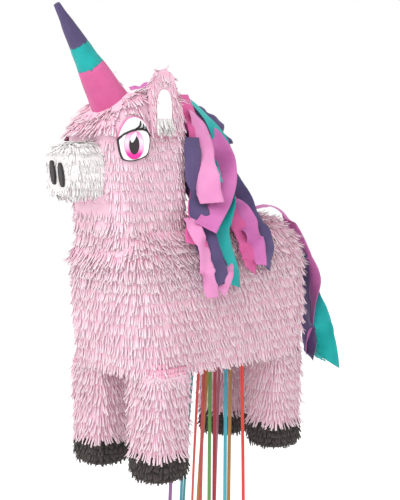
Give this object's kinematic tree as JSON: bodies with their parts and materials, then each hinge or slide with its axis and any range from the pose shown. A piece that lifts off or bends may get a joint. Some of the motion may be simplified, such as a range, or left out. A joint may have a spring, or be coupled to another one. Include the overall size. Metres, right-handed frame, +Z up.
{
  "type": "pull-string pinata",
  "caption": "Hanging unicorn-shaped pull-string pinata: fringed paper over a hollow card body, with a ribbon-pulled trap door, a filling flap and a hanging loop.",
  "frame": {"origin": "inside the top of the hanging loop, where the string that carries the pinata passes", "axes": "+Z up, the animal faces -Y, its left side is +X"},
  "size_m": [0.1876, 0.5003, 0.834],
  "materials": {
    "corrugated_card": "matte",
    "cotton_cord": "matte",
    "dark_card": "matte",
    "dark_crepe": "matte",
    "dowel_wood": "matte",
    "light_pink_crepe": "matte",
    "magenta_crepe": "matte",
    "orchid_crepe": "matte",
    "pink_crepe": "matte",
    "printed_card": "matte",
    "purple_crepe": "matte",
    "satin_cyan": "satin",
    "satin_dark_ochre": "satin",
    "satin_dark_red": "satin",
    "satin_green": "satin",
    "satin_light_blue": "satin",
    "satin_mauve": "satin",
    "satin_ochre": "satin",
    "satin_orange": "satin",
    "satin_orchid": "satin",
    "satin_pink": "satin",
    "satin_red": "satin",
    "satin_teal": "satin",
    "teal_crepe": "matte",
    "white_crepe": "matte"
  },
  "bodies": {
    "root": {"left_side": "corrugated_card", "right_side": "corrugated_card", "belly_panel": "corrugated_card", "chest_face_strip": "corrugated_card", "crown_panel": "corrugated_card", "nape_back_strip": "corrugated_card", "rump_strip": "corrugated_card", "muzzle_box": "corrugated_card", "muzzle_fringe": "white_crepe", "nostril_left": "dark_card", "nostril_right": "dark_card", "leg_tube_front_left": "corrugated_card", "leg_fringe_front_left": "pink_crepe", "hoof_front_left": "dark_crepe", "leg_tube_front_right": "corrugated_card", "leg_fringe_front_right": "pink_crepe", "hoof_front_right": "dark_crepe", "leg_tube_rear_left": "corrugated_card", "leg_fringe_rear_left": "pink_crepe", "hoof_rear_left": "dark_crepe", "leg_tube_rear_right": "corrugated_card", "leg_fringe_rear_right": "pink_crepe", "hoof_rear_right": "dark_crepe", "horn_cone": "corrugated_card", "horn_wrap_pink": "magenta_crepe", "horn_wrap_teal": "teal_crepe", "horn_wrap_purple": "purple_crepe", "loop_dowel": "dowel_wood", "trunk_fringe": "pink_crepe", "head_fringe": "pink_crepe", "eye_left": "printed_card", "ear_left": "pink_crepe", "ear_lining_left": "white_crepe", "eye_right": "printed_card", "ear_right": "pink_crepe", "ear_lining_right": "white_crepe", "mane_teal": "teal_crepe", "mane_purple": "purple_crepe", "mane_orchid": "orchid_crepe", "mane_pink": "light_pink_crepe", "mane_violet": "purple_crepe", "mane_magenta": "magenta_crepe", "tail_orchid": "orchid_crepe", "tail_purple": "purple_crepe", "tail_teal": "teal_crepe"},
    "door": {"trap_door": "corrugated_card"},
    "ribbons_front": {"ribbon_mauve": "satin_mauve", "ribbon_cyan": "satin_cyan", "ribbon_orange": "satin_orange", "ribbon_green": "satin_green"},
    "ribbons_middle": {"ribbon_teal": "satin_teal", "ribbon_pink": "satin_pink", "ribbon_dark_red": "satin_dark_red", "ribbon_light_blue": "satin_light_blue"},
    "ribbons_rear": {"ribbon_ochre": "satin_ochre", "ribbon_orchid": "satin_orchid", "ribbon_dark_ochre": "satin_dark_ochre", "ribbon_red": "satin_red"},
    "flap": {"fill_flap": "pink_crepe"},
    "loop": {"hang_loop": "cotton_cord"}
  },
  "joints": [
    {"name": "door_hinge", "type": "hinge", "parent": "root", "child": "door", "pos_m": [0, -0.004, -0.2272], "axis": [-1, 0, 0], "range_deg": [0, 80]},
    {"name": "flap_hinge", "type": "hinge", "parent": "root", "child": "flap", "pos_m": [-0.0731, 0.05, -0.1055], "axis": [0, 1, 0], "range_deg": [0, 95]},
    {"name": "loop_swing", "type": "hinge", "parent": "root", "child": "loop", "pos_m": [0, 0, -0.0405], "axis": [1, 0, 0], "range_deg": [-70, 70]},
    {"name": "ribbon_turn_front", "type": "hinge", "parent": "door", "child": "ribbons_front", "pos_m": [0, 0.016, -0.2312], "axis": [-1, 0, 0], "range_deg": [-80, 0]},
    {"name": "ribbon_turn_middle", "type": "hinge", "parent": "door", "child": "ribbons_middle", "pos_m": [0, 0.04, -0.2312], "axis": [-1, 0, 0], "range_deg": [-80, 0]},
    {"name": "ribbon_turn_rear", "type": "hinge", "parent": "door", "child": "ribbons_rear", "pos_m": [0, 0.064, -0.2312], "axis": [-1, 0, 0], "range_deg": [-80, 0]}
  ],
  "couplings": [
    {"joint": "ribbon_turn_front", "follows": "door_hinge", "ratio": -1},
    {"joint": "ribbon_turn_middle", "follows": "door_hinge", "ratio": -1},
    {"joint": "ribbon_turn_rear", "follows": "door_hinge", "ratio": -1}
  ]
}
